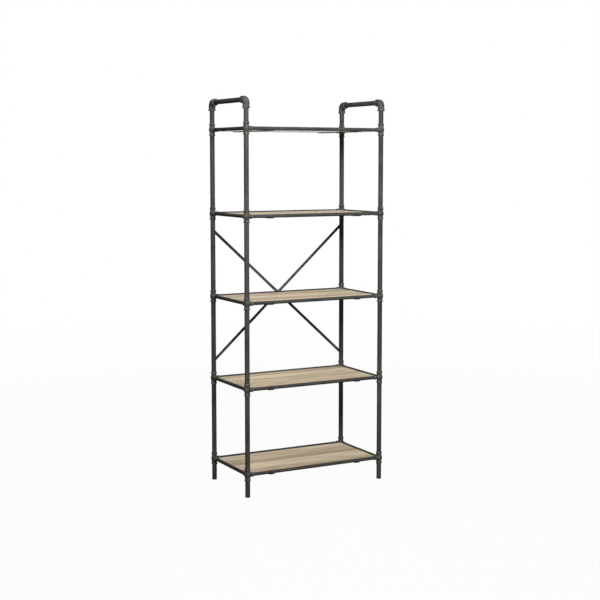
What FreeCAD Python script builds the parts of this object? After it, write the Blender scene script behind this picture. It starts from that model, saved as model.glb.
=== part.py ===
import FreeCAD, Part
import math
import os

# Open five-shelf bookcase of steel tube with cast pipe fittings.
# Millimetres. +X is the viewer's right, +Y the rear, +Z up.
# The origin is on the floor, in the middle of the footprint.

os.makedirs("parts", exist_ok=True)

Vector = FreeCAD.Vector
X_AXIS = Vector(1, 0, 0)
Y_AXIS = Vector(0, 1, 0)
Z_AXIS = Vector(0, 0, 1)
QUARTER_TURN = 90
HALF_TURN = 180
FULL_TURN = 360

# Overall size and shelf spacing
overall_width = 650.0
overall_depth = 350.0
overall_height = 1600.0
shelf_count = 5
first_rail_height = 91.0
handle_height = 126.4

# Posts: round tube with a threaded plug welded into each joined end
post_radius = 10.0
post_wall = 1.2
end_plug_length = 14.0

# Threaded studs that join the tubes through the fittings
stud_radius = 4.0
stud_margin = 3.0
thread_clearance = 0.05

# Shelf rails
rail_radius = 7.0
rail_wall = 1.0
rail_socket_depth = 8.0

# Corner fittings
fitting_half_height = 24.5
post_socket_depth = 12.0
socket_clearance = 0.1
neck_wall = 1.0
collar_wall = 2.4
collar_length = 6.5
collar_edge = 1.8
collar_flare = 1.6
belly_wall = 3.8
outlet_reach = 24.0
outlet_wall = 1.5
outlet_bead = 1.0
outlet_bead_length = 4.4

# Handle elbows, with a web that fills their inner corner
elbow_reach = 35.0
elbow_inner_radius = 2.2
elbow_wall = 3.8
elbow_band_wall = 4.8
elbow_band_length = 9.0
elbow_band_edge = 1.6
elbow_web_radius = 10.0
elbow_web_offset = 12.5
elbow_stud_depth = 8.0

# Shelf boards
board_thickness = 9.0
board_gap = 0.6
board_edge = 0.8

# Cross straps that carry the boards, and their screws
strap_width = 25.0
strap_thickness = 2.5
strap_corner = 3.0
strap_overhang = 4.0
strap_hole_clearance = 0.3
strap_place_share = 0.65
screw_radius = 1.9
screw_place_share = 0.54
screw_cover = 2.5
screw_head_radius = 3.8
screw_head_height = 2.2
screw_dome_share = 0.33
screw_crown_share = 0.67
screw_recess_width = 1.2
screw_recess_depth = 1.0

# Cross brace at the rear
brace_width = 12.0
brace_thickness = 2.5
brace_end_drop = 65.0
brace_hole_clearance = 0.3
joggle_flat_share = 0.9
joggle_ramp_share = 1.1
bolt_radius = 2.5
bolt_engagement = 8.0
bolt_head_radius = 4.6
bolt_head_height = 2.0
bolt_crown_share = 0.33
bolt_socket_width = 3.0
bolt_socket_depth = 1.1
rivet_nut_wall = 1.0
rivet_nut_length = 10.0

# Foot glides
glide_height = 6.0
glide_lip = 0.3
glide_edge = 1.6
glide_stem_length = 14.0
glide_stem_clearance = 0.1

# One overrun for every cut
overrun = 1.0

# Radii that follow from the tubes
post_bore_radius = post_radius - post_wall
neck_radius = post_radius + neck_wall
collar_radius = post_radius + collar_wall
belly_radius = post_radius + belly_wall
outlet_radius = rail_radius + outlet_wall
outlet_bead_radius = outlet_radius + outlet_bead
elbow_radius = post_radius + elbow_wall
elbow_bend_radius = elbow_radius + elbow_inner_radius
elbow_band_radius = post_radius + elbow_band_wall
stud_bore_radius = stud_radius + thread_clearance
post_socket_radius = post_radius + socket_clearance
rail_socket_radius = rail_radius + socket_clearance

# Places that follow from the overall size
post_x = overall_width / 2 - elbow_band_radius
post_y = overall_depth / 2 - elbow_band_radius
handle_axis_height = overall_height - elbow_band_radius
top_rail_height = overall_height - handle_height
shelf_pitch = (top_rail_height - first_rail_height) / (shelf_count - 1)
rail_heights = [first_rail_height + level * shelf_pitch for level in range(shelf_count)]
post_seat = fitting_half_height - post_socket_depth
elbow_seat = elbow_reach - post_socket_depth
rail_seat = outlet_reach - rail_socket_depth
stud_engagement = end_plug_length - stud_margin

# Each corner: side in X, side in Y, and the turn that points a fitting's outlets inwards
corners = {
    "front_left": (-1, -1, 0),
    "front_right": (1, -1, QUARTER_TURN),
    "rear_right": (1, 1, HALF_TURN),
    "rear_left": (-1, 1, HALF_TURN + QUARTER_TURN),
}


def save(name, solids):
    """Write one node, which is one solid or a group of separate solids."""
    for solid in solids:
        if not solid.isValid() or solid.Volume <= 0:
            raise ValueError("bad solid in " + name)
    shape = solids[0] if len(solids) == 1 else Part.makeCompound(solids)
    shape.exportStep("parts/" + name + ".step")


def rod(radius, start, end, axis=Z_AXIS, centre=Vector(0, 0, 0)):
    """A round bar from start to end along an axis through centre."""
    return Part.makeCylinder(radius, end - start, centre + axis * start, axis)


def turned(outline):
    """Revolve an outline about Z. Each entry is a corner (r, z), or a pair of an arc's middle and end."""
    edges = []
    here = Vector(outline[0][0], 0, outline[0][1])
    first = here
    for entry in outline[1:]:
        if isinstance(entry[0], tuple):
            middle = Vector(entry[0][0], 0, entry[0][1])
            there = Vector(entry[1][0], 0, entry[1][1])
            edges.append(Part.Arc(here, middle, there).toShape())
        else:
            there = Vector(entry[0], 0, entry[1])
            edges.append(Part.LineSegment(here, there).toShape())
        here = there
    edges.append(Part.LineSegment(here, first).toShape())
    face = Part.Face(Part.Wire(edges))
    return face.revolve(Vector(0, 0, 0), Z_AXIS, FULL_TURN)


def aimed(solid, axis):
    """Turn a solid that was made along +Z so that it lies along another axis."""
    turn = FreeCAD.Rotation(Z_AXIS, axis)
    copy = solid.copy()
    copy.Placement = FreeCAD.Placement(Vector(0, 0, 0), turn)
    return copy


def placed(solid, position, turn=0):
    """A copy of a solid, turned about Z at the origin and then moved."""
    copy = solid.copy()
    copy.rotate(Vector(0, 0, 0), Z_AXIS, turn)
    copy.translate(position)
    return copy


def rounded_end(radius, height, edge, sign=1):
    """Outline entries for a disc's outer corner with a quarter-round edge, going outwards and then up."""
    diagonal = edge * (1 - math.sqrt(0.5))
    return [
        (radius - edge, height),
        ((radius - diagonal, height + sign * diagonal), (radius, height + sign * edge)),
    ]


# Tubes

def tube(radius, wall, length, plug_low, plug_high):
    """A hollow tube standing on the origin, with a bored plug in each end that is asked for."""
    body = rod(radius, 0, length)
    low = end_plug_length if plug_low else -overrun
    high = length - end_plug_length if plug_high else length + overrun
    body = body.cut(rod(radius - wall, low, high))
    if plug_low or plug_high:
        body = body.cut(rod(stud_bore_radius, -overrun, length + overrun))
    return body


def rivet_nut_hole(centre, depth):
    """The round hole in a tube's rear wall that takes a rivet nut."""
    radius = bolt_radius + thread_clearance + rivet_nut_wall + thread_clearance
    return rod(radius, 0, depth + overrun, Y_AXIS, centre)


def make_posts():
    """Leg stubs, the post tubes of each bay, and the risers under the handles."""
    leg_top = rail_heights[0] - post_seat
    leg = tube(post_radius, post_wall, leg_top - glide_height, False, True)
    bay_tube = tube(post_radius, post_wall, shelf_pitch - 2 * post_seat, True, True)
    riser_bottom = top_rail_height + post_seat
    riser_top = handle_axis_height - elbow_seat
    riser = tube(post_radius, post_wall, riser_top - riser_bottom, True, True)
    for corner, (side_x, side_y, turn) in corners.items():
        foot = Vector(side_x * post_x, side_y * post_y, 0)
        save("leg_" + corner, [placed(leg, foot + Z_AXIS * glide_height)])
        save("riser_" + corner, [placed(riser, foot + Z_AXIS * riser_bottom)])
        for bay in range(shelf_count - 1):
            bottom = rail_heights[bay] + post_seat
            top = bottom + shelf_pitch - 2 * post_seat
            post = placed(bay_tube, foot + Z_AXIS * bottom)
            for anchor_height in brace_anchor_heights:
                if side_y > 0 and bottom < anchor_height < top:
                    anchor = foot + Z_AXIS * anchor_height
                    post = post.cut(rivet_nut_hole(anchor, post_radius))
            save("post_" + str(bay + 1) + "_" + corner, [post])


# Corner fittings

def make_fitting():
    """One cast corner fitting: upright sleeve, belly, and outlets towards +X and +Y."""
    belly_top = math.sqrt(belly_radius ** 2 - neck_radius ** 2)
    neck_top = fitting_half_height - collar_length - collar_flare
    collar_bottom = fitting_half_height - collar_length
    diagonal = collar_edge * (1 - math.sqrt(0.5))
    edge_height = fitting_half_height - collar_edge
    sleeve = turned([
        (0, -fitting_half_height),
        *rounded_end(collar_radius, -fitting_half_height, collar_edge),
        (collar_radius, -collar_bottom),
        (neck_radius, -neck_top),
        (neck_radius, -belly_top),
        ((belly_radius, 0), (neck_radius, belly_top)),
        (neck_radius, neck_top),
        (collar_radius, collar_bottom),
        (collar_radius, edge_height),
        ((collar_radius - diagonal, fitting_half_height - diagonal),
         (collar_radius - collar_edge, fitting_half_height)),
        (0, fitting_half_height),
    ])
    bead_start = outlet_reach - outlet_bead_length
    bead_middle = outlet_reach - outlet_bead_length / 2
    outlet = turned([
        (0, 0),
        (outlet_radius, 0),
        (outlet_radius, bead_start),
        ((outlet_bead_radius, bead_middle), (outlet_radius, outlet_reach)),
        (0, outlet_reach),
    ])
    fitting = sleeve.multiFuse([aimed(outlet, X_AXIS), aimed(outlet, Y_AXIS)])
    upper_socket = rod(post_socket_radius, post_seat, fitting_half_height + overrun)
    lower_socket = rod(post_socket_radius, -fitting_half_height - overrun, -post_seat)
    stud_bore = rod(stud_bore_radius, -fitting_half_height, fitting_half_height)
    rail_sockets = [
        rod(rail_socket_radius, rail_seat, outlet_reach + overrun, axis)
        for axis in (X_AXIS, Y_AXIS)
    ]
    return fitting.cut([upper_socket, lower_socket, stud_bore] + rail_sockets)


def make_fittings():
    """Four corner fittings for each shelf."""
    fitting = make_fitting()
    for level, height in enumerate(rail_heights):
        group = []
        for side_x, side_y, turn in corners.values():
            group.append(placed(fitting, Vector(side_x * post_x, side_y * post_y, height), turn))
        save("corner_fittings_" + str(level + 1), group)


def make_studs():
    """The studs that join tube to tube through each fitting, and each riser to its elbow."""
    half_length = post_seat + stud_engagement
    stud = rod(stud_radius, -half_length, half_length)
    elbow_stud = rod(stud_radius, -stud_engagement, elbow_stud_depth - thread_clearance)
    studs = []
    for side_x, side_y, turn in corners.values():
        for height in rail_heights:
            studs.append(placed(stud, Vector(side_x * post_x, side_y * post_y, height)))
        elbow_foot = Vector(side_x * post_x, side_y * post_y, handle_axis_height - elbow_seat)
        studs.append(placed(elbow_stud, elbow_foot))
    save("joining_studs", studs)


# Shelf frames and boards

def make_rails():
    """Long rails and side rails of each shelf, seated in the fittings' outlets."""
    half_long = post_x - rail_seat
    half_short = post_y - rail_seat
    bore = rail_radius - rail_wall
    for level, height in enumerate(rail_heights):
        long_rails = []
        for side_y in (-1, 1):
            centre = Vector(0, side_y * post_y, height)
            rail = rod(rail_radius, -half_long, half_long, X_AXIS, centre)
            rail = rail.cut(rod(bore, -half_long - overrun, half_long + overrun, X_AXIS, centre))
            if side_y > 0 and level == brace_level:
                rail = rail.cut(rivet_nut_hole(centre, rail_radius))
            long_rails.append(rail)
        side_rails = []
        for side_x in (-1, 1):
            centre = Vector(side_x * post_x, 0, height)
            rail = rod(rail_radius, -half_short, half_short, Y_AXIS, centre)
            hollow = rod(bore, -half_short - overrun, half_short + overrun, Y_AXIS, centre)
            side_rails.append(rail.cut(hollow))
        save("long_rails_" + str(level + 1), long_rails)
        save("side_rails_" + str(level + 1), side_rails)


def screw_places():
    """Where the screws go through the straps into a board, in plan."""
    return [
        Vector(side_x * post_x * strap_place_share, side_y * post_y * screw_place_share, 0)
        for side_x in (-1, 1)
        for side_y in (-1, 1)
    ]


def make_boards():
    """Shelf boards, level with the underside of the rails and notched round the fittings."""
    half_x = post_x - rail_radius - board_gap
    half_y = post_y - rail_radius - board_gap
    bottom = -rail_radius
    top = bottom + board_thickness
    board = Part.makeBox(2 * half_x, 2 * half_y, board_thickness, Vector(-half_x, -half_y, bottom))
    upper_edges = [edge for edge in board.Edges if edge.BoundBox.ZMin > top - board_edge]
    board = board.makeChamfer(board_edge, upper_edges)
    notch_radius = belly_radius + board_gap
    arm = outlet_reach + board_gap
    arm_half_width = outlet_bead_radius + board_gap
    notch_height = board_thickness + 2 * overrun
    for side_x, side_y, turn in corners.values():
        post = Vector(side_x * post_x, side_y * post_y, bottom - overrun)
        board = board.cut(Part.makeCylinder(notch_radius, notch_height, post))
        for half_x_arm, half_y_arm in ((arm, arm_half_width), (arm_half_width, arm)):
            start = post - Vector(half_x_arm, half_y_arm, 0)
            board = board.cut(Part.makeBox(2 * half_x_arm, 2 * half_y_arm, notch_height, start))
    pilot_radius = screw_radius + thread_clearance
    for place in screw_places():
        pilot = place + Z_AXIS * (bottom - overrun)
        board = board.cut(Part.makeCylinder(pilot_radius, overrun + board_thickness - screw_cover, pilot))
    for level, height in enumerate(rail_heights):
        save("shelf_board_" + str(level + 1), [placed(board, Z_AXIS * height)])


def make_strap():
    """One strap from under the front rail to under the rear rail, its top at the origin's height."""
    half_length = post_y + strap_overhang
    strap = Part.makeBox(
        strap_width, 2 * half_length, strap_thickness,
        Vector(-strap_width / 2, -half_length, -strap_thickness))
    corner_edges = [edge for edge in strap.Edges if edge.BoundBox.ZLength > strap_thickness / 2]
    strap = strap.makeFillet(strap_corner, corner_edges)
    hole_radius = screw_radius + strap_hole_clearance
    for side_y in (-1, 1):
        start = Vector(0, side_y * post_y * screw_place_share, -strap_thickness - overrun)
        strap = strap.cut(Part.makeCylinder(hole_radius, strap_thickness + 2 * overrun, start))
    return strap


def make_screw():
    """One wood screw pointing up, with its head's seat at the origin."""
    depth = strap_thickness + board_thickness - screw_cover - thread_clearance
    dome = screw_head_height * screw_dome_share
    crown_radius = screw_head_radius * screw_crown_share
    screw = turned([
        (0, -screw_head_height),
        ((crown_radius, -screw_head_height + dome / 2), (screw_head_radius, -dome)),
        (screw_head_radius, 0),
        (screw_radius, 0),
        (screw_radius, depth - screw_radius),
        (0, depth),
    ])
    for turn in (0, QUARTER_TURN):
        slot = Part.makeBox(
            2 * crown_radius, screw_recess_width, screw_recess_depth,
            Vector(-crown_radius, -screw_recess_width / 2, -screw_head_height))
        slot.rotate(Vector(0, 0, 0), Z_AXIS, turn)
        screw = screw.cut(slot)
    return screw


def make_straps_and_screws():
    """Two straps and four screws for each board."""
    strap = make_strap()
    screw = make_screw()
    straps = []
    screws = []
    for height in rail_heights:
        underside = Z_AXIS * (height - rail_radius)
        for side_x in (-1, 1):
            straps.append(placed(strap, X_AXIS * (side_x * post_x * strap_place_share) + underside))
        for place in screw_places():
            screws.append(placed(screw, place + underside - Z_AXIS * strap_thickness))
    save("board_straps", straps)
    save("board_screws", screws)


# Handles

def make_elbow():
    """One elbow, its axes crossing at the origin, with a socket downwards and one towards +Y."""
    bend_centre = Vector(0, elbow_bend_radius, -elbow_bend_radius)
    disc = Part.Face(Part.Wire(Part.makeCircle(elbow_radius, Vector(0, 0, -elbow_bend_radius), Z_AXIS)))
    bend = disc.revolve(bend_centre, X_AXIS * -1, QUARTER_TURN)
    edge_start = elbow_reach - elbow_band_edge
    band_start = elbow_reach - elbow_band_length
    diagonal = elbow_band_edge * (1 - math.sqrt(0.5))
    leg = turned([
        (0, elbow_bend_radius),
        (elbow_radius, elbow_bend_radius),
        (elbow_radius, band_start),
        ((elbow_band_radius - diagonal, band_start + diagonal),
         (elbow_band_radius, band_start + elbow_band_edge)),
        (elbow_band_radius, edge_start),
        ((elbow_band_radius - diagonal, elbow_reach - diagonal),
         (elbow_band_radius - elbow_band_edge, elbow_reach)),
        (0, elbow_reach),
    ])
    half_web = elbow_web_offset * math.sqrt(2)
    web_axis = Vector(0, math.sqrt(0.5), math.sqrt(0.5))
    web_centre = Vector(0, elbow_web_offset, -elbow_web_offset)
    web = rod(elbow_web_radius, -half_web, half_web, web_axis, web_centre)
    down = Z_AXIS * -1
    elbow = bend.multiFuse([aimed(leg, down), aimed(leg, Y_AXIS), web])
    sockets = [rod(post_socket_radius, elbow_seat, elbow_reach + overrun, axis) for axis in (down, Y_AXIS)]
    stud_bore = rod(stud_bore_radius, elbow_seat - elbow_stud_depth, elbow_reach, down)
    return elbow.cut(sockets + [stud_bore])


def make_handles():
    """An elbow on each riser and a pipe from front to rear on each side."""
    elbow = make_elbow()
    half_length = post_y - elbow_seat
    for corner, (side_x, side_y, turn) in corners.items():
        centre = Vector(side_x * post_x, side_y * post_y, handle_axis_height)
        save("handle_elbow_" + corner, [placed(elbow, centre, 0 if side_y < 0 else HALF_TURN)])
    for side, side_x in (("left", -1), ("right", 1)):
        centre = Vector(side_x * post_x, 0, handle_axis_height)
        pipe = rod(post_radius, -half_length, half_length, Y_AXIS, centre)
        bore = rod(post_bore_radius, -half_length - overrun, half_length + overrun, Y_AXIS, centre)
        save("handle_pipe_" + side, [pipe.cut(bore)])


# Cross brace

brace_level = shelf_count // 2
brace_centre_height = rail_heights[brace_level]
brace_anchor_heights = [
    rail_heights[brace_level - 1] + brace_end_drop,
    rail_heights[brace_level + 1] - brace_end_drop,
]
brace_rise = brace_anchor_heights[1] - brace_centre_height
brace_slope = math.degrees(math.atan2(brace_rise, post_x))
brace_half_length = math.hypot(brace_rise, post_x)


def brace_outline(depth_start, depth_end):
    """The bar seen from behind, with round ends, as a block between two depths."""
    half_width = brace_width / 2
    left = -brace_half_length
    right = brace_half_length
    edges = [
        Part.LineSegment(Vector(left, 0, -half_width), Vector(right, 0, -half_width)).toShape(),
        Part.Arc(Vector(right, 0, -half_width), Vector(right + half_width, 0, 0),
                 Vector(right, 0, half_width)).toShape(),
        Part.LineSegment(Vector(right, 0, half_width), Vector(left, 0, half_width)).toShape(),
        Part.Arc(Vector(left, 0, half_width), Vector(left - half_width, 0, 0),
                 Vector(left, 0, -half_width)).toShape(),
    ]
    face = Part.Face(Part.Wire(edges))
    face.translate(Y_AXIS * depth_start)
    block = face.extrude(Y_AXIS * (depth_end - depth_start))
    hole_radius = bolt_radius + brace_hole_clearance
    holes = [
        rod(hole_radius, depth_start - overrun, depth_end + overrun, Y_AXIS, Vector(x, 0, 0))
        for x in (left, 0, right)
    ]
    return block.cut(holes)


def joggled_strip():
    """The strip that steps forwards by its own thickness where the other bar crosses it."""
    end = brace_half_length + brace_width
    flat = brace_width * joggle_flat_share
    ramp_end = flat + brace_width * joggle_ramp_share
    front_path = [(-end, 0), (-ramp_end, 0), (-flat, -brace_thickness),
                  (flat, -brace_thickness), (ramp_end, 0), (end, 0)]
    points = [Vector(x, depth, -brace_width) for x, depth in front_path]
    points += [Vector(x, depth + brace_thickness, -brace_width) for x, depth in reversed(front_path)]
    face = Part.Face(Part.makePolygon(points + points[:1]))
    return face.extrude(Z_AXIS * (2 * brace_width))


def make_brace():
    """Two bars on the rear of the posts. The falling one steps in front of the rising one."""
    rear_of_posts = Vector(0, post_y + post_radius, brace_centre_height)
    rising = brace_outline(0, brace_thickness)
    falling = brace_outline(-brace_thickness, brace_thickness).common(joggled_strip()).Solids[0]
    for name, bar, slope in (("rising", rising, -brace_slope), ("falling", falling, brace_slope)):
        bar.rotate(Vector(0, 0, 0), Y_AXIS, slope)
        bar.translate(rear_of_posts)
        save("brace_bar_" + name, [bar])


def make_bolt(grip):
    """One button-head bolt, its head's seat at the origin and its shank towards -Y."""
    crown = bolt_head_height * bolt_crown_share
    bolt = turned([
        (0, -bolt_head_height),
        (bolt_socket_width, -bolt_head_height),
        ((bolt_head_radius - crown / 2, -bolt_head_height / 2), (bolt_head_radius, 0)),
        (bolt_radius, 0),
        (bolt_radius, grip + bolt_engagement),
        (0, grip + bolt_engagement),
    ])
    hexagon = Part.makePolygon([
        Vector(bolt_socket_width / math.sqrt(3) * math.cos(corner * math.pi / 3),
               bolt_socket_width / math.sqrt(3) * math.sin(corner * math.pi / 3),
               -bolt_head_height - overrun)
        for corner in range(7)
    ])
    socket = Part.Face(hexagon).extrude(Z_AXIS * (overrun + bolt_socket_depth))
    return aimed(bolt.cut(socket), Y_AXIS * -1)


def make_rivet_nut():
    """One flush rivet nut, its face at the origin and its body towards -Y."""
    bore = bolt_radius + thread_clearance
    nut = rod(bore + rivet_nut_wall, 0, rivet_nut_length)
    nut = nut.cut(rod(bore, -overrun, rivet_nut_length + overrun))
    return aimed(nut, Y_AXIS * -1)


def make_brace_fasteners():
    """Bolts at the four ends and one at the crossing, each in its rivet nut."""
    rear_of_bars = post_y + post_radius + brace_thickness
    end_bolt = make_bolt(brace_thickness)
    nut = make_rivet_nut()
    bolts = []
    nuts = []
    for side_x in (-1, 1):
        for height in brace_anchor_heights:
            bolts.append(placed(end_bolt, Vector(side_x * post_x, rear_of_bars, height)))
            nuts.append(placed(nut, Vector(side_x * post_x, post_y + post_radius, height)))
    grip = rear_of_bars - post_y - rail_radius
    nuts.append(placed(nut, Vector(0, post_y + rail_radius, brace_centre_height)))
    save("brace_end_bolts", bolts)
    save("brace_centre_bolt", [placed(make_bolt(grip), Vector(0, rear_of_bars, brace_centre_height))])
    save("brace_rivet_nuts", nuts)


# Feet

def make_glides():
    """Push-in caps that close the legs and stand on the floor."""
    cap_radius = post_radius + glide_lip
    stem_radius = post_bore_radius - glide_stem_clearance
    glide = turned([
        (0, 0),
        *rounded_end(cap_radius, 0, glide_edge),
        (cap_radius, glide_height),
        (stem_radius, glide_height),
        (stem_radius, glide_height + glide_stem_length),
        (0, glide_height + glide_stem_length),
    ])
    save("foot_glides", [
        placed(glide, Vector(side_x * post_x, side_y * post_y, 0))
        for side_x, side_y, turn in corners.values()
    ])


make_posts()
make_fittings()
make_studs()
make_rails()
make_boards()
make_straps_and_screws()
make_handles()
make_brace()
make_brace_fasteners()
make_glides()
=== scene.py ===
import itertools
import math

import bpy
import numpy as np
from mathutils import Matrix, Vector


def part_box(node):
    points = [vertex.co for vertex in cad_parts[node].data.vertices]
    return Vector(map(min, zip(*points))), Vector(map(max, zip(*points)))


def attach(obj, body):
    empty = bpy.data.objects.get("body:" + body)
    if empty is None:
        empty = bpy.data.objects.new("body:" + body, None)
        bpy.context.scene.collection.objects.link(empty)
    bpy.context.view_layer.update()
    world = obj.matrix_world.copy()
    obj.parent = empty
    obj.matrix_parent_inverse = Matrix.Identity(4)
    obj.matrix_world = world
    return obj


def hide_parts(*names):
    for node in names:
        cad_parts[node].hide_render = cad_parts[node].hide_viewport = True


# Open five-shelf bookcase of steel tube, cast pipe fittings and grey oak boards.
# Metres. +X is the viewer's right, +Y the rear, +Z up.

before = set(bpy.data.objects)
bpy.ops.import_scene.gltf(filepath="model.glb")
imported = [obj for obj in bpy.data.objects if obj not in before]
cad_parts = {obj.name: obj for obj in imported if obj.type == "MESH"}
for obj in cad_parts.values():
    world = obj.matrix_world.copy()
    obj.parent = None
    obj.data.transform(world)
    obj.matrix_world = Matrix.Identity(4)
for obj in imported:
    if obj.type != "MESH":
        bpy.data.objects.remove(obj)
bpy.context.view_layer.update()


# Tubes
post_radius = 0.01
post_wall = 0.0012
rail_radius = 0.007
rail_wall = 0.001
tube_sides = 48

# Corner fittings
fitting_half_height = 0.0245
neck_radius = 0.011
neck_edge = 0.0005
collar_radius = 0.0124
collar_length = 0.0065
collar_edge = 0.0018
collar_fillet = 0.003
belly_radius = 0.0138
belly_fillet = 0.003
outlet_reach = 0.024
outlet_radius = 0.0085
outlet_edge = 0.0005
outlet_fillet = 0.0035
outlet_bead_radius = 0.0095
outlet_bead_length = 0.0044
outlet_bead_edge = 0.0014
outlet_bead_fillet = 0.001

# Handle elbows
elbow_reach = 0.035
elbow_bend_radius = 0.016
elbow_radius = 0.0138
elbow_web_radius = 0.01
elbow_web_offset = 0.0125
elbow_web_fillet = 0.004
elbow_band_radius = 0.0148
elbow_band_length = 0.009
elbow_band_edge = 0.0016
elbow_band_fillet = 0.001

# Sockets and threads inside the castings
socket_clearance = 0.0001
post_socket_depth = 0.012
rail_socket_depth = 0.008
stud_radius = 0.004
stud_clearance = 0.00005
elbow_stud_depth = 0.008

# How finely a casting is skinned, and how its rubbed edges are found
skin_cell = 0.0007
skin_margin = 0.002
relax_rounds = 4
settle_rounds = 3
slope_step = 0.00005
bulge_step = 0.0005
rub_low_bulge = 180.0
rub_high_bulge = 700.0
sharp_angle = math.radians(50)

# Brace bars
brace_half_width = 0.006
brace_edge = 0.0006
brace_edge_steps = 4
brace_arc_steps = 20
brace_stations = 120
brace_end_drop = 0.065
joggle_flat = 0.0108
joggle_ramp = 0.0132

# Brace bolts
bolt_radius = 0.0025
bolt_head_radius = 0.0046
bolt_head_height = 0.002
bolt_head_edge = 0.0002
bolt_socket_half_width = 0.0015
bolt_socket_depth = 0.0011
bolt_crown_share = 0.35

# Cross straps under the boards and their screws
strap_half_width = 0.0125
strap_thickness = 0.0025
strap_corner = 0.003
strap_edge = 0.0003
strap_edge_segments = 2
strap_overhang = 0.004
strap_place_share = 0.65
screw_place_share = 0.54
screw_radius = 0.0019
screw_core_radius = 0.0013
screw_pitch = 0.0014
screw_length = 0.00895
screw_head_radius = 0.0038
screw_head_height = 0.0022
screw_head_edge = 0.0003
recess_half_width = 0.0006
recess_reach = 0.0024
recess_depth = 0.0011
recess_slope = 0.0003

# Foot glides
glide_radius = 0.0103
glide_height = 0.006
glide_edge = 0.0016
glide_stem_radius = 0.0087
glide_stem_length = 0.014
arc_steps = 6


# Places read from the frame

def middle(node):
    """The middle of a node's box."""
    low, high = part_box(node)
    return (low + high) / 2


CORNERS = {"front_left": (-1, -1), "front_right": (1, -1), "rear_right": (1, 1), "rear_left": (-1, 1)}
SHELVES = range(1, 1 + sum(node.startswith("shelf_board_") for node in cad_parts))
post_x, post_y = middle("leg_rear_right").xy
rail_heights = {shelf: middle(f"side_rails_{shelf}").z for shelf in SHELVES}
shelf_pitch = rail_heights[2] - rail_heights[1]
handle_height = middle("handle_pipe_left").z
brace_shelf = (len(SHELVES) + 1) // 2
brace_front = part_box("brace_bar_rising")[0].y
brace_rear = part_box("brace_bar_rising")[1].y
brace_thickness = brace_rear - brace_front


# Node trees written as Python

class Wire:
    """A value that varies, held as a socket. Arithmetic on it adds Math nodes."""

    def __init__(self, graph, socket):
        self.graph = graph
        self.socket = socket

    def math(self, operation, *values):
        return self.graph.node("ShaderNodeMath", {"operation": operation}, dict(enumerate(values)))

    def __add__(self, other):
        return self.math("ADD", self, other)

    def __radd__(self, other):
        return self.math("ADD", other, self)

    def __sub__(self, other):
        return self.math("SUBTRACT", self, other)

    def __rsub__(self, other):
        return self.math("SUBTRACT", other, self)

    def __mul__(self, other):
        return self.math("MULTIPLY", self, other)

    def __rmul__(self, other):
        return self.math("MULTIPLY", other, self)

    def __truediv__(self, other):
        return self.math("DIVIDE", self, other)

    def floor(self):
        return self.math("FLOOR", self)

    def sine(self):
        return self.math("SINE", self)

    def absolute(self):
        return self.math("ABSOLUTE", self)

    def root(self):
        return self.math("SQRT", self)

    def maximum(self, other):
        return self.math("MAXIMUM", self, other)

    def smooth(self, low, high):
        """0 below low, 1 above high, and a smooth step between them."""
        values = {"Value": self, "From Min": low, "From Max": high}
        return self.graph.node("ShaderNodeMapRange", {"interpolation_type": "SMOOTHSTEP"}, values)


class Graph:
    """A node tree. Nodes are added by type, with their settings and then their sockets."""

    def __init__(self, tree):
        self.tree = tree

    def node(self, kind, settings=None, inputs=None, output=0):
        node = self.tree.nodes.new(kind)
        for name, value in (settings or {}).items():
            setattr(node, name, value)
        for name, value in (inputs or {}).items():
            if isinstance(value, Wire):
                self.tree.links.new(value.socket, node.inputs[name])
            else:
                node.inputs[name].default_value = value
        return Wire(self, node.outputs[output])


# Finishes

WHITE = (1.0, 1.0, 1.0, 1.0)
BLACK = (0.0, 0.0, 0.0, 1.0)

# Sockets of the Mix node that hold colours
FIRST_COLOUR = 6
SECOND_COLOUR = 7
MIXED_COLOUR = 2


def paint(*levels):
    """The linear colour of red, green and blue as written from 0 to 255."""
    shares = [level / 255 for level in levels]
    return tuple(((share + 0.055) / 1.055) ** 2.4 for share in shares) + (1.0,)


# Powder coat on tubes, castings and flat bars
coat_dark = paint(56, 56, 55)
coat_light = paint(71, 71, 69)
casting_dark = paint(57, 57, 55)
casting_light = paint(80, 80, 77)
casting_pitted = paint(38, 38, 37)
casting_rubbed = paint(132, 129, 122)
bar_dark = paint(60, 60, 58)
bar_light = paint(76, 76, 74)
bar_rubbed = paint(120, 118, 112)

# Oak, and the sheet that backs it
oak_light = paint(206, 191, 164)
oak_dark = paint(146, 128, 102)
oak_pore = paint(118, 101, 82)
oak_seam = paint(120, 104, 85)
backing_white = paint(236, 235, 229)

# Plastic, black oxide and zinc
plastic_black = paint(16, 16, 16)
plastic_scuffed = paint(58, 57, 55)
oxide_dark = paint(30, 30, 31)
oxide_light = paint(52, 51, 50)
oxide_brown = paint(80, 60, 46)
zinc_dark = paint(172, 172, 168)
zinc_light = paint(205, 203, 192)

# The powder coat holds metal flakes: part of its gloss is metal's, dull at a glancing view
flake_share = 0.14

# How deep the bumps of each finish are
coat_bump = 0.00006
casting_bump = 0.00012
bar_bump = 0.00007
oak_bump = 0.0001
plastic_bump = 0.00005
oxide_bump = 0.00003
zinc_bump = 0.00002

# How high the scuffs reach up a foot glide
scuff_height = 0.003


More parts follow.
